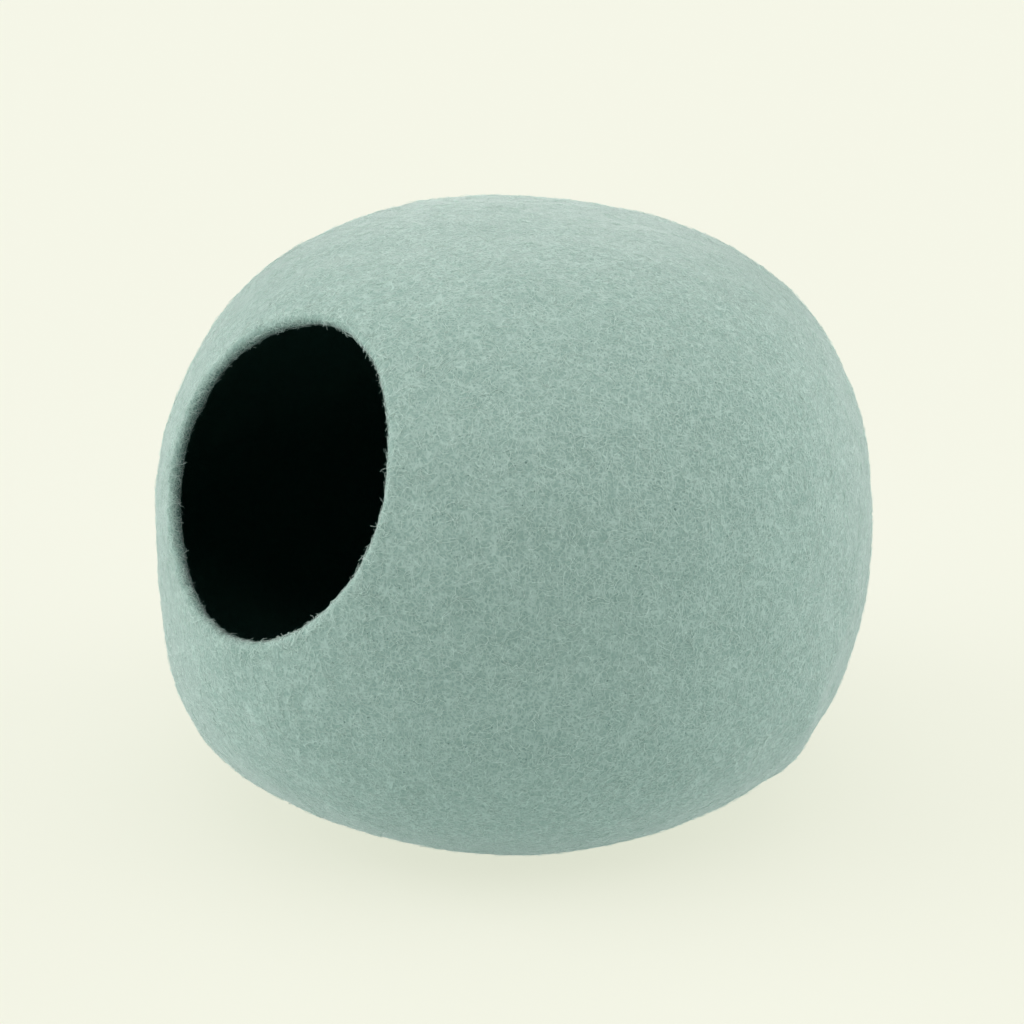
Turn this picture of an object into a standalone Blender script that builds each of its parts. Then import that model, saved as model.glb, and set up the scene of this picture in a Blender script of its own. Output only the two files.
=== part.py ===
"""A felt cat cave: one hollow, seamless ball of thick felted wool with a flat base and one entrance.

Metres, +Z up. The origin is under the middle of the ball, on the surface that it stands on. The
entrance looks towards -Y and a little upwards. A direction from the ball's centre is given by its
turn, in degrees from -Y towards +X, and its lift above the horizontal.
"""

import math
from collections import namedtuple

import bmesh
import bpy
from mathutils import Vector

# The ball, outside, before its swells and dents
WIDTH = 0.452  # along X
DEPTH = 0.466  # along Y
CENTRE_HEIGHT = 0.1595  # of the widest ring above the base
CROWN = 0.199  # from the widest ring up to the top
BELLY = 0.1755  # from the widest ring down to where the belly would end without its base
PLAN_FULLNESS = 1.86  # 2 is an ellipse, and more is squarer
CROWN_FULLNESS = 2.53
BELLY_FULLNESS = 2.67
BASE_EDGE = 0.010  # softness of the turn from the side into the flat base
WALL = 0.008

# The entrance, measured over the curve of the wall
ENTRANCE_LIFT = 21.8  # degrees that it looks up
ENTRANCE_WIDTH = 0.163
ENTRANCE_HEIGHT = 0.185
ENTRANCE_LEAN = 10.0  # degrees that its height leans towards +X
ENTRANCE_REACH = 0.215  # from the ball's centre to its edge
EGG_SHARE, EGG_TURN = 0.031, 53.0  # its fuller side, in degrees from +X towards its top
LOBE_SHARE, LOBE_TURN = 0.016, 107.0  # its three slight corners

# How the soft wall swells out (rise above 0) or is dented
Swell = namedtuple("Swell", "turn lift spread rise")
SWELLS = [
    Swell(turn=0, lift=22, spread=32, rise=-0.0024),
    Swell(turn=-44, lift=31, spread=12.5, rise=-0.0047),
    Swell(turn=-33, lift=-1, spread=19, rise=-0.0020),
    Swell(turn=-20, lift=-27, spread=12.5, rise=0.0034),
    Swell(turn=-2, lift=-46, spread=16, rise=-0.0030),
    Swell(turn=50, lift=-58, spread=15, rise=0.0052),
    Swell(turn=115, lift=-15, spread=12, rise=-0.0015),
    Swell(turn=120, lift=-2, spread=13, rise=0.0024),
    Swell(turn=148, lift=65, spread=16, rise=-0.0018),
    Swell(turn=-92, lift=79, spread=21, rise=0.0054),
    Swell(turn=176, lift=14, spread=20, rise=0.0030),
    Swell(turn=-138, lift=22, spread=17, rise=-0.0030),
    Swell(turn=-112, lift=-20, spread=15, rise=0.0030),
    Swell(turn=-160, lift=-24, spread=14, rise=-0.0025),
]

# The mesh
SEGMENTS = 60  # round the entrance
RINGS = 33  # from the entrance's edge to the far side
LIP_STEPS = 3  # in each half of the lip's rounding

FELT_COLOUR = (0.36, 0.50, 0.44, 1.0)
FELT_ROUGHNESS = 0.95


def clear_scene():
    for thing in list(bpy.data.objects):
        bpy.data.objects.remove(thing, do_unlink=True)


def felt_material():
    material = bpy.data.materials.new("mint_felt")
    material.use_nodes = True
    shader = material.node_tree.nodes["Principled BSDF"]
    shader.inputs["Base Color"].default_value = FELT_COLOUR
    shader.inputs["Roughness"].default_value = FELT_ROUGHNESS
    shader.inputs["Metallic"].default_value = 0.0
    return material


def direction_to(turn, lift):
    turn, lift = math.radians(turn), math.radians(lift)
    level = math.cos(lift)
    return Vector((math.sin(turn) * level, -math.cos(turn) * level, math.sin(lift)))


def soft_minimum(a, b, softness):
    """The smaller of two lengths, with a rounded change between them. Outside it, exactly one of them."""
    nearness = max(softness - abs(a - b), 0.0) / softness
    return min(a, b) - nearness * nearness * softness / 4


def ball_point(direction):
    """The outer surface along a unit direction from the ball's centre."""
    upper = direction.z > 0
    half_height = CROWN if upper else BELLY
    fullness = CROWN_FULLNESS if upper else BELLY_FULLNESS
    across = (2 * abs(direction.x) / WIDTH) ** PLAN_FULLNESS
    along = (2 * abs(direction.y) / DEPTH) ** PLAN_FULLNESS
    upright = (abs(direction.z) / half_height) ** fullness
    radius = ((across + along) ** (fullness / PLAN_FULLNESS) + upright) ** (-1 / fullness)
    for swell in SWELLS:
        away = 1 - direction.dot(direction_to(swell.turn, swell.lift))
        radius += swell.rise * math.exp(-away / (1 - math.cos(math.radians(swell.spread))))
    if direction.z < 0:
        radius = soft_minimum(radius, CENTRE_HEIGHT / -direction.z, BASE_EDGE)
    return direction * radius + Vector((0, 0, CENTRE_HEIGHT))


def entrance_angle(turn):
    """From the entrance's axis to its edge, in radians, at a turn round it from +X towards its top."""
    along_lean = turn - math.radians(90 - ENTRANCE_LEAN)
    oval = math.hypot(
        math.cos(along_lean) / ENTRANCE_HEIGHT, math.sin(along_lean) / ENTRANCE_WIDTH
    )
    egg = EGG_SHARE * math.cos(turn - math.radians(EGG_TURN))
    lobes = LOBE_SHARE * math.cos(3 * (turn - math.radians(LOBE_TURN)))
    return (1 + egg + lobes) / (2 * oval * ENTRANCE_REACH)


def ring_points(share):
    """Points round the ball, at a share of the way from the entrance's edge to the far side."""
    axis = direction_to(0, ENTRANCE_LIFT)
    right = Vector((1, 0, 0))
    up = right.cross(-axis)
    points = []
    for step in range(SEGMENTS):
        turn = math.tau * step / SEGMENTS
        edge = entrance_angle(turn)
        angle = edge + share * (math.pi - edge)
        outwards = right * math.cos(turn) + up * math.sin(turn)
        points.append(ball_point(axis * math.cos(angle) + outwards * math.sin(angle)))
    return points


def felt_sheet():
    """The outer surface as one open sheet, from the entrance's edge to the point behind it."""
    sheet = bmesh.new()
    rings = [[sheet.verts.new(p) for p in ring_points(i / RINGS)] for i in range(RINGS)]
    for near, far in zip(rings, rings[1:]):
        for i in range(SEGMENTS):
            sheet.faces.new((near[i - 1], near[i], far[i], far[i - 1]))
    behind = sheet.verts.new(ball_point(-direction_to(0, ENTRANCE_LIFT)))
    for i in range(SEGMENTS):
        sheet.faces.new((rings[-1][i - 1], rings[-1][i], behind))
    bmesh.ops.recalc_face_normals(sheet, faces=sheet.faces)
    mesh = bpy.data.meshes.new("felt_shell")
    sheet.to_mesh(mesh)
    sheet.free()
    return mesh


def centre_over_origin(mesh):
    """Puts the middle of the ball's width and depth over the origin."""
    for axis in (0, 1):
        places = [v.co[axis] for v in mesh.vertices]
        middle = (min(places) + max(places)) / 2
        for vertex in mesh.vertices:
            vertex.co[axis] -= middle


def felt_shell():
    mesh = felt_sheet()
    centre_over_origin(mesh)
    mesh.shade_smooth()
    mesh.materials.append(felt_material())
    shell = bpy.data.objects.new("felt_shell", mesh)
    bpy.context.scene.collection.objects.link(shell)

    thickness = shell.modifiers.new("felt_thickness", "SOLIDIFY")
    thickness.thickness = WALL
    thickness.offset = -1
    thickness.use_even_offset = True

    lip = shell.modifiers.new("rounded_lip", "BEVEL")
    lip.limit_method = "ANGLE"
    lip.angle_limit = math.radians(60)
    lip.width = 0.45 * WALL
    lip.segments = LIP_STEPS
    return shell


clear_scene()
felt_shell()
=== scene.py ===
"""The looks of a felt cat cave: one hollow, wet-felted wool ball with an entrance, on a pale studio floor."""

import math
from collections import namedtuple

import bmesh
import bpy
from bpy.props import FloatProperty, FloatVectorProperty, IntProperty, PointerProperty
from mathutils import Matrix, Vector


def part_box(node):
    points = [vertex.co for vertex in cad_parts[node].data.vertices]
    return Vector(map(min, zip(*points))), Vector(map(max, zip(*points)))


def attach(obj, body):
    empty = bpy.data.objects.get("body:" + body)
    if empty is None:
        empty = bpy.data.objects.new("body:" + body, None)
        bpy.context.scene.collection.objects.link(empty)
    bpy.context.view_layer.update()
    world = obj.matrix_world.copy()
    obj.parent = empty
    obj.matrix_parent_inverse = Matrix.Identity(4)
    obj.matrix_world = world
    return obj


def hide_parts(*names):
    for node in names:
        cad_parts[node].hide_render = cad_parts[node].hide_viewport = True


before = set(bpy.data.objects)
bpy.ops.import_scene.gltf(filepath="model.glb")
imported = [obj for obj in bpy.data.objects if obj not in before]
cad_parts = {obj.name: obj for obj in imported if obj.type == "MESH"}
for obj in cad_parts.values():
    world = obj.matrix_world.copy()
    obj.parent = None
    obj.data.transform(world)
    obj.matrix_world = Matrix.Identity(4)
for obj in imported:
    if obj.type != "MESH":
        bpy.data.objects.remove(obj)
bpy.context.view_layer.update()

bl_info = {
    "name": "Felt cat cave",
    "version": (1, 0, 0),
    "blender": (4, 5, 0),
    "location": "3D View > Sidebar > Cat cave",
    "description": "Builds the felt wall of a cat cave, its stray wool fibres and a studio stage",
    "category": "Object",
}

SHELL_NODE = "felt_shell"
BODY = "root"

# How the soft wall swells out (rise above 0) or is dented. A direction from the ball's centre is given by
# its turn, in degrees from -Y towards +X, and its lift above the horizontal.
Swell = namedtuple("Swell", "turn lift spread rise")
SWELLS = [
    Swell(turn=0, lift=22, spread=32, rise=-0.0024),
    Swell(turn=-44, lift=31, spread=12.5, rise=-0.0047),
    Swell(turn=-33, lift=-1, spread=19, rise=-0.0020),
    Swell(turn=-20, lift=-27, spread=12.5, rise=0.0034),
    Swell(turn=-2, lift=-46, spread=16, rise=-0.0030),
    Swell(turn=50, lift=-58, spread=15, rise=0.0052),
    Swell(turn=115, lift=-15, spread=12, rise=-0.0015),
    Swell(turn=120, lift=-2, spread=13, rise=0.0024),
    Swell(turn=148, lift=65, spread=16, rise=-0.0018),
    Swell(turn=-92, lift=79, spread=21, rise=0.0054),
    Swell(turn=176, lift=14, spread=20, rise=0.0030),
    Swell(turn=-138, lift=22, spread=17, rise=-0.0030),
    Swell(turn=-112, lift=-20, spread=15, rise=0.0030),
    Swell(turn=-160, lift=-24, spread=14, rise=-0.0025),
]

# A soft ridge low on the +X side, two small creases beside it, and one below the entrance
RIDGE_LINE = ((108, -3), (103, -8), (99, -13), (97, -18), (98, -23), (101, -28), (105, -32))
RIDGE = [Swell(turn, lift, spread=4.2, rise=0.0025) for turn, lift in RIDGE_LINE]
CREASES = [
    Swell(turn=113, lift=-6, spread=2.0, rise=-0.0012),
    Swell(turn=117, lift=-5, spread=2.0, rise=-0.0012),
    Swell(turn=-26, lift=-33, spread=1.6, rise=-0.0011),
]

# Attributes of the meshes
PAST_RIM = "past_rim"  # metres along the wall from the outer edge of the lip, and below 0 outside it
OUTWARDS = "outwards"  # which way the felt faces at a fibre's root


# Properties

class CaveShape(bpy.types.PropertyGroup):
    """Sizes of the felt ball and its entrance."""

    width: FloatProperty(name="Width", description="Across X, outside", default=0.452, unit="LENGTH")
    depth: FloatProperty(name="Depth", description="Across Y, outside", default=0.466, unit="LENGTH")
    centre_height: FloatProperty(
        name="Centre height", description="Widest ring above the base", default=0.1595, unit="LENGTH")
    crown: FloatProperty(name="Crown", description="Widest ring to the top", default=0.199, unit="LENGTH")
    belly: FloatProperty(
        name="Belly", description="Widest ring down to where the belly would end", default=0.1755,
        unit="LENGTH")
    plan_fullness: FloatProperty(name="Plan fullness", description="2 is an ellipse", default=1.86)
    crown_fullness: FloatProperty(name="Crown fullness", description="2 is an ellipse", default=2.53)
    belly_fullness: FloatProperty(name="Belly fullness", description="2 is an ellipse", default=2.67)
    base_edge: FloatProperty(
        name="Base edge", description="Softness of the turn into the flat base", default=0.010, unit="LENGTH")
    wall: FloatProperty(name="Wall", description="Thickness of the felt", default=0.008, unit="LENGTH")
    entrance_lift: FloatProperty(
        name="Entrance lift", description="How far it looks up", default=math.radians(21.8), subtype="ANGLE")
    entrance_width: FloatProperty(
        name="Entrance width", description="Over the curve of the wall", default=0.163, unit="LENGTH")
    entrance_height: FloatProperty(
        name="Entrance height", description="Over the curve of the wall", default=0.185, unit="LENGTH")
    entrance_lean: FloatProperty(
        name="Entrance lean", description="Its height leans to +X", default=math.radians(10), subtype="ANGLE")
    entrance_reach: FloatProperty(
        name="Entrance reach", description="Ball's centre to its edge", default=0.215, unit="LENGTH")
    egg_share: FloatProperty(name="Egg share", description="Fuller side of the entrance", default=0.031)
    egg_turn: FloatProperty(
        name="Egg turn", description="Where that side is", default=math.radians(53), subtype="ANGLE")
    lobe_share: FloatProperty(name="Lobe share", description="Three slight corners", default=0.016)
    lobe_turn: FloatProperty(
        name="Lobe turn", description="Where the first corner is", default=math.radians(107), subtype="ANGLE")
    lump_height: FloatProperty(
        name="Lump height", description="Soft unevenness of the felt", default=0.0016, unit="LENGTH")
    lump_size: FloatProperty(
        name="Lump size", description="Spacing of the soft unevenness", default=0.034, unit="LENGTH")
    pill_height: FloatProperty(
        name="Pill height", description="Fine unevenness of the felt", default=0.0005, unit="LENGTH")
    pill_size: FloatProperty(
        name="Pill size", description="Spacing of the fine unevenness", default=0.007, unit="LENGTH")
    columns: IntProperty(name="Columns", description="Faces round the entrance", default=320)
    rows: IntProperty(name="Rows", description="Faces from far side to far side", default=280)


class WoolColours(bpy.types.PropertyGroup):
    """Colours of the wools."""

    mint_deep: FloatVectorProperty(
        name="Deep mint", description="Wool between the fibres", subtype="COLOR",
        default=(0.200, 0.316, 0.272))
    mint_pale: FloatVectorProperty(
        name="Pale mint", description="Raised wool", subtype="COLOR", default=(0.418, 0.574, 0.506))
    # Mint fibre and the palest fibres are paler than the wool's own colour: partly a painted highlight for
    # the light the loose fuzz catches at the outline
    mint_fibre: FloatVectorProperty(
        name="Mint fibre", description="Loose fibres", subtype="COLOR", default=(0.635, 0.80, 0.72))
    fibre_painted_highlight: FloatVectorProperty(
        name="Loose fibre", description="Fibres that stand off", subtype="COLOR", default=(0.72, 0.87, 0.80))
    dark_wool: FloatVectorProperty(
        name="Dark wool", description="Inner side", subtype="COLOR", default=(0.062, 0.155, 0.13))
    dark_fibre: FloatVectorProperty(
        name="Dark fibre", description="Fibres of the inner side", subtype="COLOR",
        default=(0.045, 0.115, 0.095))


class FibreCounts(bpy.types.PropertyGroup):
    """How many loose fibres stand off the felt, and their size."""

    tufts: IntProperty(name="Fibres a piece", description="Loose fibres in each piece", default=5200)
    length: FloatProperty(name="Length", description="Of a loose fibre", default=0.0085, unit="LENGTH")
    thickness: FloatProperty(name="Thickness", description="Of a loose fibre", default=0.00018, unit="LENGTH")
    curl: FloatProperty(name="Curl", description="How far a fibre bends", default=0.0042, unit="LENGTH")
    curl_size: FloatProperty(name="Curl size", description="Length of a bend", default=0.0055, unit="LENGTH")
    rim_fibres: IntProperty(name="Rim fibres", description="Loose fibres on the lip", default=540)
    rim_fuzz: IntProperty(name="Rim fuzz", description="Short fibres where the lip turns in", default=1800)
    fuzz_length: FloatProperty(name="Fuzz length", description="Of those", default=0.0045, unit="LENGTH")


class StudioStage(bpy.types.PropertyGroup):
    """Camera, floor and light."""

    view_turn: FloatProperty(
        name="View turn", description="From -Y towards +X", default=math.radians(43.85), subtype="ANGLE")
    view_lift: FloatProperty(
        name="View lift", description="Above the horizontal", default=math.radians(20), subtype="ANGLE")
    distance: FloatProperty(
        name="Distance", description="Ball's centre to camera", default=1.53, unit="LENGTH")
    lens: FloatProperty(name="Lens", description="Focal length in millimetres", default=85)
    aim_up: FloatProperty(
        name="Aim up", description="The camera aims this far above the centre", default=0.0099, unit="LENGTH")
    aim_left: FloatProperty(
        name="Aim left", description="The camera aims this far left of the centre", default=0.0011,
        unit="LENGTH")
    floor_grey: FloatVectorProperty(
        name="Floor", description="Colour of the lit floor", subtype="COLOR", default=(0.20, 0.20, 0.20))
    floor_glow: FloatVectorProperty(
        name="Floor glow", description="What the floor itself sends to the camera", subtype="COLOR",
        default=(0.675, 0.6845, 0.562))
    floor_bounce: FloatVectorProperty(
        name="Floor bounce", description="What the floor itself sends to the felt", subtype="COLOR",
        default=(0.59, 0.67, 0.65))
    backdrop: FloatVectorProperty(
        name="Backdrop", description="What the camera sees past the floor", subtype="COLOR",
        default=(0.913, 0.922, 0.799))
    sky: FloatProperty(name="Sky", description="Strength of the light from all round", default=0.08)
    top_light: FloatProperty(name="Top light", description="Strength from above", default=1.84)
    left_light: FloatProperty(name="Left light", description="Strength from the left", default=2.6)
    right_light: FloatProperty(name="Right light", description="Strength from the right", default=2.0)
    rim_left_light: FloatProperty(name="Rim left light", description="Strength from behind left", default=0.7)
    rim_right_light: FloatProperty(
        name="Rim right light", description="Strength from behind right", default=1.0)


# Nodes

def feed(tree, socket, value):
    """Joins a value to an input socket, or sets the socket to it."""
    if isinstance(value, (Num, Vec)):
        value = value.source
    if isinstance(value, bpy.types.NodeSocket):
        tree.links.new(value, socket)
    else:
        socket.default_value = value


def live(sockets, name):
    """The socket of this name that the node's settings leave in use."""
    return next(s for s in sockets if s.name == name and s.enabled)


def add_node(tree, kind, inputs=None, **settings):
    node = tree.nodes.new(kind)
    for name, value in settings.items():
        setattr(node, name, value)
    for name, value in (inputs or {}).items():
        feed(tree, node.inputs[name] if isinstance(name, int) else live(node.inputs, name), value)
    return node


class Num:
    """A number in a node tree. Arithmetic on it adds Math nodes."""

    def __init__(self, tree, source):
        self.tree, self.source = tree, source

    def math(self, operation, *others):
        inputs = dict(enumerate((self, *others)))
        return Num(self.tree, add_node(self.tree, "ShaderNodeMath", inputs, operation=operation).outputs[0])

    def __add__(self, other):
        return self.math("ADD", other)

    def __sub__(self, other):
        return self.math("SUBTRACT", other)

    def __mul__(self, other):
        return self.math("MULTIPLY", other)

    def __truediv__(self, other):
        return self.math("DIVIDE", other)

    def __pow__(self, other):
        return self.math("POWER", other)

    def __neg__(self):
        return self * -1.0

    def __abs__(self):
        return self.math("ABSOLUTE")

    def least(self, other):
        return self.math("MINIMUM", other)

    def most(self, other):
        return self.math("MAXIMUM", other)

    def below(self, other):
        return self.math("LESS_THAN", other)

    def sin(self):
        return self.math("SINE")

    def cos(self):
        return self.math("COSINE")

    def exp(self):
        return self.math("EXPONENT")

    def rise(self, low, high):
        """0 below low, 1 above high, and a smooth change between them."""
        node = add_node(self.tree, "ShaderNodeMapRange", {"Value": self, "From Min": low, "From Max": high},
                        interpolation_type="SMOOTHSTEP")
        return Num(self.tree, node.outputs["Result"])


class Vec:
    """A vector in a node tree. Arithmetic on it adds Vector Math nodes."""

    def __init__(self, tree, source):
        self.tree, self.source = tree, source

    def math(self, operation, *others, output="Vector", **named):
        inputs = {**dict(enumerate((self, *others))), **named}
        node = add_node(self.tree, "ShaderNodeVectorMath", inputs, operation=operation)
        return node.outputs[output]

    def __add__(self, other):
        return Vec(self.tree, self.math("ADD", other))

    def __sub__(self, other):
        return Vec(self.tree, self.math("SUBTRACT", other))

    def __mul__(self, number):
        return Vec(self.tree, self.math("SCALE", Scale=number))

    def times(self, other):
        return Vec(self.tree, self.math("MULTIPLY", other))

    def cross(self, other):
        return Vec(self.tree, self.math("CROSS_PRODUCT", other))

    def unit(self):
        return Vec(self.tree, self.math("NORMALIZE"))

    def dot(self, other):
        return Num(self.tree, self.math("DOT_PRODUCT", other, output="Value"))

    def parts(self):
        node = add_node(self.tree, "ShaderNodeSeparateXYZ", {"Vector": self})
        return [Num(self.tree, socket) for socket in node.outputs]


def vector_of(tree, x, y, z):
    return Vec(tree, add_node(tree, "ShaderNodeCombineXYZ", {"X": x, "Y": y, "Z": z}).outputs["Vector"])


def noise_node(tree, place, size, detail, roughness):
    """Noise whose blobs are about this size."""
    return add_node(tree, "ShaderNodeTexNoise",
                    {"Vector": place, "Scale": size ** -1.0, "Detail": detail, "Roughness": roughness})


def noise(tree, place, size, detail=2.0, roughness=0.5):
    """Noise as a number from 0 to 1."""
    return Num(tree, noise_node(tree, place, size, detail, roughness).outputs[0])


def drift(tree, place, size):
    """Noise as a vector, with each part from -0.5 to 0.5."""
    node = noise_node(tree, place, size, detail=1.0, roughness=0.5)
    return Vec(tree, node.outputs[1]) - Vector((0.5, 0.5, 0.5))


def new_tree(name, kind, inputs, outputs):
    """A node tree with named sockets. inputs and outputs are lists of (name, type, default)."""
    tree = bpy.data.node_groups.new(name, kind)
    for way, sockets in (("INPUT", inputs), ("OUTPUT", outputs)):
        for socket_name, socket_type, default in sockets:
            socket = tree.interface.new_socket(
                name=socket_name, in_out=way, socket_type="NodeSocket" + socket_type)
            if default is not None:
                socket.default_value = default
    start = tree.nodes.new("NodeGroupInput")
    end = tree.nodes.new("NodeGroupOutput")
    return tree, start.outputs, end.inputs


def direction_to(turn, lift):
    turn, lift = math.radians(turn), math.radians(lift)
    return Vector((math.sin(turn) * math.cos(lift), -math.cos(turn) * math.cos(lift), math.sin(lift)))


# The felt wall

SHAPE_INPUTS = [
    ("Width", "width"), ("Depth", "depth"), ("Centre Height", "centre_height"), ("Crown", "crown"),
    ("Belly", "belly"), ("Plan Fullness", "plan_fullness"), ("Crown Fullness", "crown_fullness"),
    ("Belly Fullness", "belly_fullness"), ("Base Edge", "base_edge"),
]
ENTRANCE_INPUTS = [
    ("Wall", "wall"), ("Entrance Lift", "entrance_lift"), ("Entrance Width", "entrance_width"),
    ("Entrance Height", "entrance_height"), ("Entrance Lean", "entrance_lean"),
    ("Entrance Reach", "entrance_reach"), ("Egg Share", "egg_share"), ("Egg Turn", "egg_turn"),
    ("Lobe Share", "lobe_share"), ("Lobe Turn", "lobe_turn"), ("Lump Height", "lump_height"),
    ("Lump Size", "lump_size"), ("Pill Height", "pill_height"), ("Pill Size", "pill_size"),
]
LIP_START, LIP_END = 0.62, 0.68  # shares of the rows that are before the lip's outer and inner edge
LIP_MIDDLE = (LIP_START + LIP_END) / 2
DARK_FROM = 0.0155  # metres past the rim where nothing of the mint wool is left
PROBE = 0.002  # radians between the points that give the wall's normal
FAR_FLOOR = 9.0  # metres along a direction that doesn't meet the floor
LUMPS_FROM, LUMPS_WHOLE = 0.0005, 0.016  # metres above the floor where the lumps start and are whole
MERGE_WITHIN = 0.00002


def ball_surface_group():
    """A node group that gives the outer surface along a unit direction from the ball's centre."""
    inputs = [("Direction", "Vector", None)] + [(name, "Float", 0.0) for name, _ in SHAPE_INPUTS]
    tree, given, result = new_tree("ball_surface", "GeometryNodeTree", inputs, [("Point", "Vector", None)])
    direction = Vec(tree, given["Direction"])
    size = {name: Num(tree, given[name]) for name, _ in SHAPE_INPUTS}
    x, y, z = direction.parts()

    upper = -(z.below(0.0)) + 1.0
    half_height = size["Belly"] + (size["Crown"] - size["Belly"]) * upper
    fullness = size["Belly Fullness"] + (size["Crown Fullness"] - size["Belly Fullness"]) * upper
    plan = size["Plan Fullness"]
    across = (abs(x) * 2.0 / size["Width"]) ** plan
    along = (abs(y) * 2.0 / size["Depth"]) ** plan
    whole = (across + along) ** (fullness / plan) + (abs(z) / half_height) ** fullness
    radius = whole ** (fullness ** -1.0 * -1.0)
    for swell in SWELLS + RIDGE + CREASES:
        away = direction.dot(direction_to(swell.turn, swell.lift)) - 1.0
        radius = radius + (away / (1 - math.cos(math.radians(swell.spread)))).exp() * swell.rise

    floor = size["Centre Height"] / (-z).most(1 / FAR_FLOOR)
    floor = floor + z.below(0.0) * -FAR_FLOOR + FAR_FLOOR
    softness = size["Base Edge"]
    nearness = (softness - abs(radius - floor)).most(0.0) / softness
    radius = radius.least(floor) - nearness * nearness * softness * 0.25

    point = direction * radius + vector_of(tree, 0.0, 0.0, size["Centre Height"])
    feed(tree, result["Point"], point)
    return tree


def felt_wall_tree():
    """The whole wall from one grid: the outer side, round the lip, and back along the inner side."""
    inputs = [(name, "Float", 0.0) for name, _ in SHAPE_INPUTS + ENTRANCE_INPUTS]
    inputs += [("Columns", "Int", 3), ("Rows", "Int", 3)]
    inputs += [("Felt", "Material", None), ("Dark Felt", "Material", None)]
    tree, given, result = new_tree("felt_wall", "GeometryNodeTree", inputs, [("Geometry", "Geometry", None)])
    size = {name: Num(tree, given[name]) for name, _ in SHAPE_INPUTS + ENTRANCE_INPUTS}
    surface = ball_surface_group()

    def outer_point(direction):
        node = add_node(tree, "GeometryNodeGroup", node_tree=surface)
        feed(tree, node.inputs["Direction"], direction)
        for name, _ in SHAPE_INPUTS:
            feed(tree, node.inputs[name], size[name])
        return Vec(tree, node.outputs["Point"])

    grid = add_node(tree, "GeometryNodeMeshGrid",
                    {"Size X": 1.0, "Size Y": 1.0, "Vertices X": given["Columns"],
                     "Vertices Y": given["Rows"]})
    place = Vec(tree, tree.nodes.new("GeometryNodeInputPosition").outputs[0])
    column, row, _ = place.parts()
    turn = (column + 0.5) * math.tau
    row = row + 0.5

    # The entrance's edge, as an angle from its axis
    along_lean = turn - math.pi / 2 + size["Entrance Lean"]
    tall = along_lean.cos() / size["Entrance Height"]
    wide = along_lean.sin() / size["Entrance Width"]
    oval = (tall * tall + wide * wide) ** 0.5
    egg = (turn - size["Egg Turn"]).cos() * size["Egg Share"]
    lobes = ((turn - size["Lobe Turn"]) * 3.0).cos() * size["Lobe Share"]
    reach = size["Entrance Reach"]
    edge = (egg + lobes + 1.0) / (oval * reach * 2.0) + size["Wall"] * 0.5 / reach

    # Where each row lies: share is 0 on the far side and 1 at the lip
    share = (row / LIP_START).least((-row + 1.0) / (1 - LIP_END)).least(1.0)
    lip_turn = ((row - LIP_START) / (LIP_END - LIP_START)).most(0.0).least(1.0) * math.pi
    to_far_side = -edge + math.pi
    angle = -(share * to_far_side) + math.pi

    lift = size["Entrance Lift"]
    axis = vector_of(tree, 0.0, -lift.cos(), lift.sin())
    right = vector_of(tree, 1.0, 0.0, 0.0)
    up = vector_of(tree, 0.0, lift.sin(), lift.cos())
    outwards = right * turn.cos() + up * turn.sin()
    sideways = up * turn.cos() - right * turn.sin()
    direction = axis * angle.cos() + outwards * angle.sin()
    away = outwards * angle.cos() - axis * angle.sin()
    point = outer_point(direction)
    step_away = outer_point((direction + away * PROBE).unit()) - point
    step_side = outer_point((direction + sideways * PROBE).unit()) - point
    normal = step_away.cross(step_side).unit()
    towards = step_away.unit() * -1.0

    half_wall = size["Wall"] * 0.5
    felt = point - normal * half_wall
    felt = felt + normal * (lip_turn.cos() * half_wall) + towards * (lip_turn.sin() * half_wall)
    facing = normal * lip_turn.cos() + towards * lip_turn.sin()

    # Soft lumps, none where the base is flat
    lumps = (noise(tree, felt, size["Lump Size"]) - 0.5) * size["Lump Height"] * 2.0
    pills = (noise(tree, felt, size["Pill Size"], detail=3.0) - 0.5) * size["Pill Height"] * 2.0
    _, _, height = felt.parts()
    off_base = height.rise(LUMPS_FROM, LUMPS_WHOLE)
    felt = felt + facing * ((lumps + pills) * off_base)

    inwards = (row - LIP_MIDDLE).math("SIGN")
    past = lip_turn * half_wall + (-share + 1.0) * to_far_side * reach * inwards
    marked = add_node(tree, "GeometryNodeStoreNamedAttribute",
                      {"Geometry": grid.outputs["Mesh"], "Name": PAST_RIM, "Value": past},
                      data_type="FLOAT", domain="POINT")
    moved = add_node(tree, "GeometryNodeSetPosition",
                     {"Geometry": marked.outputs["Geometry"], "Position": felt})
    joined = add_node(tree, "GeometryNodeMergeByDistance",
                      {"Geometry": moved.outputs["Geometry"], "Distance": MERGE_WITHIN})
    smooth = add_node(tree, "GeometryNodeSetShadeSmooth", {"Geometry": joined.outputs["Geometry"]})
    real = add_node(tree, "GeometryNodeRealizeInstances", {"Geometry": smooth.outputs[0]})
    mint = add_node(tree, "GeometryNodeSetMaterial", {"Geometry": real.outputs[0], "Material": given["Felt"]})
    beyond = Num(tree, add_node(tree, "GeometryNodeInputNamedAttribute", {"Name": PAST_RIM},
                                data_type="FLOAT").outputs["Attribute"])
    both = add_node(tree, "GeometryNodeSetMaterial",
                    {"Geometry": mint.outputs[0], "Selection": beyond.math("GREATER_THAN", DARK_FROM),
                     "Material": given["Dark Felt"]})
    feed(tree, result["Geometry"], both.outputs[0])
    return tree


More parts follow.
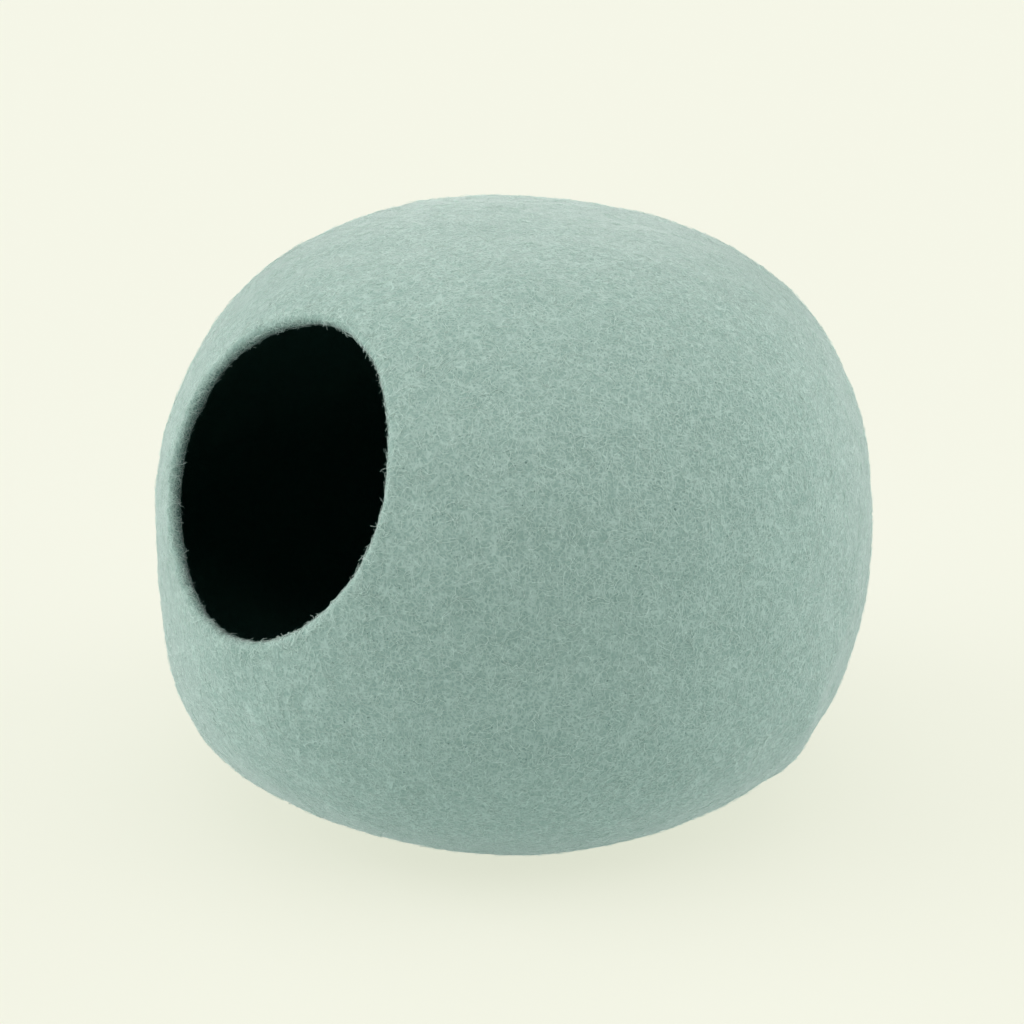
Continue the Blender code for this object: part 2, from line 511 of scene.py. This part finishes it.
def made_by(name, tree, values, mesh=None):
    """A plain mesh object, made by running a node tree on a mesh."""
    carrier = bpy.data.objects.new(name, mesh or bpy.data.meshes.new(name))
    bpy.context.scene.collection.objects.link(carrier)
    modifier = carrier.modifiers.new(name, "NODES")
    modifier.node_group = tree
    sockets = {item.name: item.identifier for item in tree.interface.items_tree if item.in_out == "INPUT"}
    for socket_name, value in values.items():
        modifier[sockets[socket_name]] = value
    bpy.context.view_layer.update()
    graph = bpy.context.evaluated_depsgraph_get()
    plain = bpy.data.meshes.new_from_object(carrier.evaluated_get(graph), preserve_all_data_layers=True,
                                            depsgraph=graph)
    carrier.modifiers.clear()
    carrier.data = plain
    plain.name = name
    return carrier


def face_outwards(mesh):
    """Turns a closed mesh the right way out."""
    shape = bmesh.new()
    shape.from_mesh(mesh)
    bmesh.ops.recalc_face_normals(shape, faces=shape.faces)
    if shape.calc_volume(signed=True) < 0:
        bmesh.ops.reverse_faces(shape, faces=shape.faces)
    shape.to_mesh(mesh)
    shape.free()


def centre_over_frame(mesh):
    """Puts the middle of the ball's width and depth over the middle of its solid."""
    low, high = (Vector(corner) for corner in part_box(SHELL_NODE))
    shift = Vector((0, 0, 0))
    for axis in (0, 1):
        places = [v.co[axis] for v in mesh.vertices]
        shift[axis] = (low[axis] + high[axis] - min(places) - max(places)) / 2
    mesh.transform(Matrix.Translation(shift))


# Wool

# Fibres lie in layers: how far a layer's pattern is shifted, how it is drawn out along each axis (less is
# longer), its share of the fibre spacing, and how wide its lines are.
LAYERS = (
    (0.0, (0.45, 1.0, 1.0), 1.0, 0.055),
    (0.37, (1.0, 0.45, 1.0), 0.85, 0.060),
    (0.71, (1.0, 1.0, 0.42), 0.90, 0.060),
    (1.3, (0.8, 0.8, 0.55), 0.66, 0.080),
    (1.9, (0.6, 0.8, 0.9), 0.60, 0.085),
)


# The wool's pattern. Sizes are shares of the fibre spacing, or metres.
BEND_SIZE, BEND = 1.5, 0.6
GAP_SIZE, GAPS = 1.2, (0.32, 0.58)
BLOTCH_SIZE = 0.03
GRAIN_ROUGHNESS = 0.65
GRAIN_HEIGHT, FIBRE_HEIGHT = 0.6, 0.4
NOISE_RANGE, GRAIN_RANGE = (0.3, 0.7), (0.32, 0.68)  # stretched to a whole 0 to 1

# How the pattern colours the felt
LEAST_PALE, PALE_BY_GRAIN, PALE_BY_BLOTCHES = 0.20, 0.46, 0.08
FIBRES_OVER_MINT = 0.40
SPECK_SIZE, SPECKS, SPECKS_OVER_MINT = 0.0018, (0.825, 0.85), 0.6
FIBRE_TONE_SIZE = 0.008  # from paler to deeper loose fibres
WOOL_ROUGHNESS, WOOL_SPECULAR = 0.95, 0.15
BUMP_DEPTH = 0.0012

# How the mint wool gives way to the dark, in metres past the rim
DARK_BAND, DARK_CURVE = (0.0008, 0.0130), 1.7
DOT_SIZE, RAGGED_BY_DOTS, RAGGED_BY_GRAIN = 0.0009, 0.007, 0.002
DARK_FIBRE_BAND, DARK_FIBRE_SHARE = (0.005, 0.010), 0.9

# How the dark fibres show in the dark wool, on the lip and inside
LIP_BY_FIBRES, LIP_BY_GRAIN = 0.5, 0.2
INSIDE_BY_FIBRES, INSIDE_BY_GRAIN = 0.25, 0.15


def wool_group():
    """A shader node group for felted wool: curly fibres, a mottled grain, soft blotches and a height."""
    inputs = [("Vector", "Vector", None), ("Fibre Spacing", "Float", 0.0038), ("Grain", "Float", 0.0013)]
    outputs = [("Fibres", "Float", None), ("Grain", "Float", None), ("Blotches", "Float", None),
               ("Height", "Float", None)]
    tree, given, result = new_tree("felted_wool", "ShaderNodeTree", inputs, outputs)
    place = Vec(tree, given["Vector"])
    spacing = Num(tree, given["Fibre Spacing"])
    bent = place + drift(tree, place, spacing * BEND_SIZE) * (spacing * BEND)
    fibres = None
    for shift, drawn, finer, line in LAYERS:
        shifted = bent.times(Vector(drawn)) + Vector((shift, 2 * shift, -shift))
        field = noise(tree, shifted, spacing * finer, detail=0.0)
        strand = -(abs(field - 0.5).rise(0.0, line)) + 1.0
        strand = strand * noise(tree, shifted, spacing * GAP_SIZE, detail=0.0).rise(*GAPS)
        fibres = strand if fibres is None else fibres.most(strand)
    fine = noise(tree, place, Num(tree, given["Grain"]), detail=3.0, roughness=GRAIN_ROUGHNESS)
    blotches = noise(tree, place, BLOTCH_SIZE)
    height = fine * GRAIN_HEIGHT + fibres * FIBRE_HEIGHT
    feed(tree, result["Fibres"], fibres)
    feed(tree, result["Grain"], fine.rise(*GRAIN_RANGE))
    feed(tree, result["Blotches"], blotches.rise(*NOISE_RANGE))
    feed(tree, result["Height"], height)
    return tree


def mixed(tree, share, first, second):
    """A blend of two colours."""
    node = add_node(tree, "ShaderNodeMix", data_type="RGBA")
    feed(tree, live(node.inputs, "Factor"), share)
    feed(tree, live(node.inputs, "A"), first)
    feed(tree, live(node.inputs, "B"), second)
    return live(node.outputs, "Result")


def rim_distance(tree):
    """In a material, the metres past the rim."""
    return Num(tree, add_node(tree, "ShaderNodeAttribute", attribute_name=PAST_RIM).outputs["Fac"])


def raise_wool(tree, shader, height, strength):
    """Bumps a shader's surface by the wool's height."""
    bump = add_node(tree, "ShaderNodeBump", {"Strength": strength, "Distance": BUMP_DEPTH, "Height": height})
    feed(tree, shader.inputs["Normal"], bump.outputs["Normal"])


def wool_shader(name, sheen, sheen_roughness, tint):
    """A material with a matt, sheened shader. Returns it with its tree and its shader node."""
    material = bpy.data.materials.new(name)
    material.use_nodes = True
    tree = material.node_tree
    shader = tree.nodes["Principled BSDF"]
    shader.inputs["Roughness"].default_value = WOOL_ROUGHNESS
    shader.inputs["Specular IOR Level"].default_value = WOOL_SPECULAR
    shader.inputs["Sheen Weight"].default_value = sheen
    shader.inputs["Sheen Roughness"].default_value = sheen_roughness
    shader.inputs["Sheen Tint"].default_value = (*tint, 1.0)
    return material, tree, shader


def felt_material(colours, wool):
    """Mint felt outside, which turns speckled and then dark over the lip."""
    material, tree, shader = wool_shader(
        "mint_felt", sheen=1.0, sheen_roughness=0.32, tint=(0.93, 1.0, 0.95))
    place = Vec(tree, tree.nodes.new("ShaderNodeTexCoord").outputs["Object"])
    pattern = add_node(tree, "ShaderNodeGroup", node_tree=wool)
    feed(tree, pattern.inputs["Vector"], place)
    fibres, grain, blotches, height = (Num(tree, pattern.outputs[i]) for i in range(4))

    tone = grain * PALE_BY_GRAIN + blotches * PALE_BY_BLOTCHES + LEAST_PALE
    mint = mixed(tree, tone, (*colours.mint_deep, 1), (*colours.mint_pale, 1))
    mint = mixed(tree, fibres * FIBRES_OVER_MINT, mint, (*colours.mint_fibre, 1))
    specks = noise(tree, place, SPECK_SIZE, detail=0.0).rise(*SPECKS)
    mint = mixed(tree, specks * SPECKS_OVER_MINT, mint, (*colours.dark_fibre, 1))
    share = fibres * LIP_BY_FIBRES + grain * LIP_BY_GRAIN
    dark = mixed(tree, share, (*colours.dark_wool, 1), (*colours.dark_fibre, 1))

    dots = noise(tree, place, DOT_SIZE, detail=1.0).rise(*NOISE_RANGE)
    ragged = rim_distance(tree) + (dots - 0.5) * RAGGED_BY_DOTS + (grain - 0.5) * RAGGED_BY_GRAIN
    inner = ragged.rise(*DARK_BAND) ** DARK_CURVE
    feed(tree, shader.inputs["Base Color"], mixed(tree, inner, mint, dark))
    raise_wool(tree, shader, height, strength=0.55)
    return material


def dark_felt_material(colours, wool):
    """Dark felt on the inner side."""
    material, tree, shader = wool_shader(
        "dark_felt", sheen=0.0, sheen_roughness=0.5, tint=(1.0, 1.0, 1.0))
    pattern = add_node(tree, "ShaderNodeGroup", node_tree=wool)
    feed(tree, pattern.inputs["Vector"], tree.nodes.new("ShaderNodeTexCoord").outputs["Object"])
    fibres, grain, _, height = (Num(tree, pattern.outputs[i]) for i in range(4))
    share = fibres * INSIDE_BY_FIBRES + grain * INSIDE_BY_GRAIN
    dark = mixed(tree, share, (*colours.dark_wool, 1), (*colours.dark_fibre, 1))
    feed(tree, shader.inputs["Base Color"], dark)
    raise_wool(tree, shader, height, strength=0.4)
    return material


def fibre_material(colours):
    """Loose mint fibres, painted paler than the felt as a highlight for the light they catch, some paler than
    others at random, and dark ones past the lip.
    """
    material, tree, shader = wool_shader(
        "loose_mint_wool", sheen=0.8, sheen_roughness=0.35, tint=(0.95, 1.0, 0.97))
    place = Vec(tree, tree.nodes.new("ShaderNodeTexCoord").outputs["Object"])
    # Which fibres are paler is random; how pale they all are is a painted highlight
    tone = noise(tree, place, FIBRE_TONE_SIZE, detail=1.0).rise(*NOISE_RANGE)
    mint = mixed(tree, tone, (*colours.mint_fibre, 1), (*colours.fibre_painted_highlight, 1))
    share = rim_distance(tree).rise(*DARK_FIBRE_BAND) * DARK_FIBRE_SHARE
    feed(tree, shader.inputs["Base Color"], mixed(tree, share, mint, (*colours.dark_fibre, 1)))
    return material


# Loose fibres

# Metres past the rim between which fibres have their middles
OUTSIDE_BAND = (-1.0, 0.0)
LIP_BAND = (-0.003, 0.008)
FUZZ_BAND = (0.0055, 0.0115)

LOWEST_ROOT = 0.006  # metres above the floor
LOWEST_FIBRE = 0.0012
STAND = 0.0003  # metres from the felt to a straight fibre
SHORTEST, LONGEST = 0.45, 1.35  # shares of the fibre's length
TIP = 0.16  # radians that a fibre tips in or out at most
FIBRE_SIDES = 3

# One piece of loose fibres. lift is the share of the curl that leaves the felt, and beads is how many
# points a fibre has.
Scatter = namedtuple("Scatter", "name density band lift beads length seed")


def fibre_tree():
    """Curly fibres that lie in and on the surface that the tree is given."""
    inputs = [("Geometry", "Geometry", None), ("Fibres", "Float", 1000.0), ("Length", "Float", 0.01),
              ("Thickness", "Float", 0.0002), ("Curl", "Float", 0.003), ("Curl Size", "Float", 0.005),
              ("Nearest Rim", "Float", -1.0), ("Farthest Rim", "Float", 0.0), ("Lift", "Float", 0.1),
              ("Beads", "Int", 7), ("Seed", "Int", 0), ("Wool", "Material", None)]
    outputs = [("Geometry", "Geometry", None)]
    tree, given, result = new_tree("loose_fibres", "GeometryNodeTree", inputs, outputs)
    past = Num(tree, add_node(tree, "GeometryNodeInputNamedAttribute", {"Name": PAST_RIM},
                              data_type="FLOAT").outputs["Attribute"])
    where = Vec(tree, tree.nodes.new("GeometryNodeInputPosition").outputs[0])
    _, _, height = where.parts()
    in_band = (past.math("GREATER_THAN", given["Nearest Rim"]) * past.below(given["Farthest Rim"])
               * height.math("GREATER_THAN", LOWEST_ROOT))
    scatter = add_node(tree, "GeometryNodeDistributePointsOnFaces",
                       {"Mesh": given["Geometry"], "Selection": in_band, "Density": given["Fibres"],
                        "Seed": given["Seed"]}, distribute_method="RANDOM")
    rooted = add_node(tree, "GeometryNodeStoreNamedAttribute",
                      {"Geometry": scatter.outputs["Points"], "Name": OUTWARDS,
                       "Value": scatter.outputs["Normal"]}, data_type="FLOAT_VECTOR", domain="POINT")
    half = Num(tree, given["Length"]) * 0.5
    line = add_node(tree, "GeometryNodeCurvePrimitiveLine",
                    {"Start": vector_of(tree, -half, 0.0, STAND), "End": vector_of(tree, half, 0.0, STAND)},
                    mode="POINTS")
    beads = add_node(tree, "GeometryNodeResampleCurve", {"Curve": line.outputs[0], "Count": given["Beads"]})
    stretch = add_node(tree, "FunctionNodeRandomValue", {"Min": SHORTEST, "Max": LONGEST, "Seed": 3},
                       data_type="FLOAT")
    spin = add_node(tree, "FunctionNodeRandomValue", {"Min": 0.0, "Max": math.tau, "Seed": 5},
                    data_type="FLOAT")
    tip = add_node(tree, "FunctionNodeRandomValue", {"Min": -TIP, "Max": TIP, "Seed": 7},
                   data_type="FLOAT")
    placed = add_node(tree, "GeometryNodeInstanceOnPoints",
                      {"Points": rooted.outputs["Geometry"], "Instance": beads.outputs[0],
                       "Rotation": scatter.outputs["Rotation"],
                       "Scale": vector_of(tree, live(stretch.outputs, "Value"), 1.0, 1.0)})
    spun = add_node(tree, "GeometryNodeRotateInstances",
                    {"Instances": placed.outputs[0],
                     "Rotation": vector_of(tree, 0.0, 0.0, live(spin.outputs, "Value"))})
    tipped = add_node(tree, "GeometryNodeRotateInstances",
                      {"Instances": spun.outputs[0],
                       "Rotation": vector_of(tree, 0.0, live(tip.outputs, "Value"), 0.0)})
    strands = add_node(tree, "GeometryNodeRealizeInstances", {"Geometry": tipped.outputs[0]})
    wander = drift(tree, where, Num(tree, given["Curl Size"]))
    outwards = Vec(tree, add_node(tree, "GeometryNodeInputNamedAttribute", {"Name": OUTWARDS},
                                  data_type="FLOAT_VECTOR").outputs["Attribute"])
    wander = wander - outwards * (wander.dot(outwards) * (-Num(tree, given["Lift"]) + 1.0))
    curled = where + wander * (Num(tree, given["Curl"]) * 2.0)
    x, y, z = curled.parts()
    curled = vector_of(tree, x, y, z.most(LOWEST_FIBRE))
    bent = add_node(tree, "GeometryNodeSetPosition", {"Geometry": strands.outputs[0], "Position": curled})
    ring = add_node(tree, "GeometryNodeCurvePrimitiveCircle",
                    {"Resolution": FIBRE_SIDES, "Radius": Num(tree, given["Thickness"]) * 0.5}, mode="RADIUS")
    tubes = add_node(tree, "GeometryNodeCurveToMesh",
                     {"Curve": bent.outputs[0], "Profile Curve": ring.outputs[0], "Fill Caps": True})
    smooth = add_node(tree, "GeometryNodeSetShadeSmooth", {"Geometry": tubes.outputs[0]})
    real = add_node(tree, "GeometryNodeRealizeInstances", {"Geometry": smooth.outputs[0]})
    finished = add_node(tree, "GeometryNodeSetMaterial",
                        {"Geometry": real.outputs[0], "Material": given["Wool"]})
    feed(tree, result["Geometry"], finished.outputs[0])
    return tree


def wanted_area(mesh, low, high):
    """The area of the felt whose distance past the rim is between two limits."""
    past = mesh.attributes[PAST_RIM].data
    total = 0.0
    for face in mesh.polygons:
        if low < past[face.vertices[0]].value < high:
            total += face.area
    return total


# Operators

class CAVE_OT_felt_wall(bpy.types.Operator):
    """Builds the seamless felt wall with its rounded lip"""

    bl_idname = "cave.felt_wall"
    bl_label = "Felt wall"

    def execute(self, context):
        shape = context.scene.cave_shape
        colours, wool = context.scene.wool_colours, wool_group()
        values = {name: getattr(shape, field) for name, field in SHAPE_INPUTS + ENTRANCE_INPUTS}
        values.update(Columns=shape.columns + 1, Rows=shape.rows + 1, Felt=felt_material(colours, wool))
        values["Dark Felt"] = dark_felt_material(colours, wool)
        wall = made_by("felt_wall", felt_wall_tree(), values)
        centre_over_frame(wall.data)
        face_outwards(wall.data)
        if len(wall.data.polygons) < shape.rows:
            raise RuntimeError("the felt wall came out empty")
        return {"FINISHED"}


class CAVE_OT_loose_fibres(bpy.types.Operator):
    """Scatters curly loose fibres over the outside of the felt and on its lip"""

    bl_idname = "cave.loose_fibres"
    bl_label = "Loose fibres"

    def execute(self, context):
        counts = context.scene.fibre_counts
        wool = fibre_material(context.scene.wool_colours)
        tree = fibre_tree()
        wall = bpy.data.objects["felt_wall"].data
        outside = counts.tufts / wanted_area(wall, *OUTSIDE_BAND)
        on_lip = counts.rim_fibres / wanted_area(wall, *LIP_BAND)
        in_fuzz = counts.rim_fuzz / wanted_area(wall, *FUZZ_BAND)
        scatters = [
            Scatter(f"loose_fibres_{i + 1}", outside, OUTSIDE_BAND, lift=0.06, beads=7, length=counts.length,
                    seed=11 + i)
            for i in range(3)
        ]
        scatters += [
            Scatter("lip_fibres", on_lip, LIP_BAND, lift=0.6, beads=7, length=counts.length, seed=29),
            Scatter("lip_fuzz", in_fuzz, FUZZ_BAND, lift=0.25, beads=4, length=counts.fuzz_length, seed=31),
        ]
        for scatter in scatters:
            nearest, farthest = scatter.band
            values = {"Fibres": scatter.density, "Length": scatter.length, "Thickness": counts.thickness,
                      "Curl": counts.curl, "Curl Size": counts.curl_size, "Nearest Rim": nearest,
                      "Farthest Rim": farthest, "Lift": scatter.lift, "Beads": scatter.beads,
                      "Seed": scatter.seed, "Wool": wool}
            made_by(scatter.name, tree, values, wall.copy())
        return {"FINISHED"}


class CAVE_OT_stage(bpy.types.Operator):
    """Adds the floor, the soft studio light and the camera"""

    bl_idname = "cave.stage"
    bl_label = "Studio stage"

    def execute(self, context):
        stage = context.scene.studio_stage
        add_floor(stage)
        add_lights(stage)
        add_camera(stage)
        return {"FINISHED"}


FLOOR_REACH = 12.0

# Soft suns, named as their strengths are: turn from the camera, lift and spread, in degrees
LIGHTS = (
    ("top_light", 0, 84, 75),
    ("left_light", -90, 15, 60),
    ("right_light", 90, 15, 60),
    ("rim_left_light", -150, 12, 50),
    ("rim_right_light", 150, 12, 50),
)


def seen_by_camera(tree, first, second):
    """A colour that is the second one to the camera, and the first one to all other rays."""
    seen = tree.nodes.new("ShaderNodeLightPath").outputs["Is Camera Ray"]
    return mixed(tree, seen, (*first, 1), (*second, 1))


def add_floor(stage):
    mesh = bpy.data.meshes.new("floor")
    corners = [(x * FLOOR_REACH, y * FLOOR_REACH, 0) for x, y in ((-1, -1), (1, -1), (1, 1), (-1, 1))]
    mesh.from_pydata(corners, [], [(0, 1, 2, 3)])
    floor = bpy.data.objects.new("floor", mesh)
    bpy.context.scene.collection.objects.link(floor)
    material = bpy.data.materials.new("pale_floor")
    material.use_nodes = True
    tree = material.node_tree
    shader = tree.nodes["Principled BSDF"]
    shader.inputs["Base Color"].default_value = (*stage.floor_grey, 1)
    shader.inputs["Roughness"].default_value = 0.9
    shader.inputs["Specular IOR Level"].default_value = 0.0
    feed(tree, shader.inputs["Emission Color"], seen_by_camera(tree, stage.floor_bounce, stage.floor_glow))
    shader.inputs["Emission Strength"].default_value = 1.0
    mesh.materials.append(material)


def add_soft_light(name, turn, lift, spread, strength):
    """Even light from a wide patch of sky in one direction."""
    lamp = bpy.data.lights.new(name, "SUN")
    lamp.energy = strength
    lamp.angle = math.radians(spread)
    light = bpy.data.objects.new(name, lamp)
    light.rotation_euler = direction_to(turn, lift).to_track_quat("Z", "Y").to_euler()
    bpy.context.scene.collection.objects.link(light)


def add_lights(stage):
    world = bpy.data.worlds.new("studio")
    bpy.context.scene.world = world
    world.use_nodes = True
    tree = world.node_tree
    sky = (stage.sky, stage.sky, stage.sky)
    feed(tree, tree.nodes["Background"].inputs["Color"], seen_by_camera(tree, sky, stage.backdrop))
    camera_turn = math.degrees(stage.view_turn)
    for name, turn, lift, spread in LIGHTS:
        add_soft_light(name, camera_turn + turn, lift, spread, getattr(stage, name))


def add_camera(stage):
    low, high = (Vector(corner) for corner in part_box(SHELL_NODE))
    centre = (low + high) / 2
    centre.z = bpy.context.scene.cave_shape.centre_height
    back = direction_to(math.degrees(stage.view_turn), math.degrees(stage.view_lift))
    right = Vector((math.cos(stage.view_turn), math.sin(stage.view_turn), 0))
    up = back.cross(right)
    camera = bpy.data.objects.new("camera", bpy.data.cameras.new("camera"))
    camera.data.lens = stage.lens
    camera.location = centre + back * stage.distance
    aim = centre + up * stage.aim_up - right * stage.aim_left
    camera.rotation_euler = (aim - camera.location).to_track_quat("-Z", "Y").to_euler()
    bpy.context.scene.collection.objects.link(camera)
    bpy.context.scene.camera = camera
    bpy.context.scene.view_settings.view_transform = "Standard"


class CAVE_PT_panel(bpy.types.Panel):
    """Lists the cave's builders in the 3D view's sidebar"""

    bl_idname = "CAVE_PT_panel"
    bl_label = "Cat cave"
    bl_space_type = "VIEW_3D"
    bl_region_type = "UI"
    bl_category = "Cat cave"

    def draw(self, context):
        for operator in OPERATORS:
            self.layout.operator(operator.bl_idname)
        for name in SETTINGS:
            group = getattr(context.scene, name)
            box = self.layout.box()
            for field in group.__annotations__:
                box.prop(group, field)


SETTINGS = {"cave_shape": CaveShape, "wool_colours": WoolColours, "fibre_counts": FibreCounts,
            "studio_stage": StudioStage}
OPERATORS = [CAVE_OT_felt_wall, CAVE_OT_loose_fibres, CAVE_OT_stage]


def register():
    for name, group in SETTINGS.items():
        bpy.utils.register_class(group)
        setattr(bpy.types.Scene, name, PointerProperty(type=group))
    for operator in OPERATORS:
        bpy.utils.register_class(operator)
    bpy.utils.register_class(CAVE_PT_panel)


def unregister():
    bpy.utils.unregister_class(CAVE_PT_panel)
    for operator in reversed(OPERATORS):
        bpy.utils.unregister_class(operator)
    for name, group in SETTINGS.items():
        delattr(bpy.types.Scene, name)
        bpy.utils.unregister_class(group)


def join_to_frame():
    """Hangs each piece on the body it rides on and hides the CAD shell."""
    wall = bpy.data.objects["felt_wall"]
    fibres = [bpy.data.objects[name] for name in
              ("loose_fibres_1", "loose_fibres_2", "loose_fibres_3", "lip_fibres", "lip_fuzz")]
    for piece in [wall, *fibres]:
        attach(piece, BODY)
    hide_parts(SHELL_NODE)


def main():
    register()
    bpy.ops.cave.felt_wall()
    bpy.ops.cave.loose_fibres()
    bpy.ops.cave.stage()
    join_to_frame()


if __name__ == "__main__":
    main()
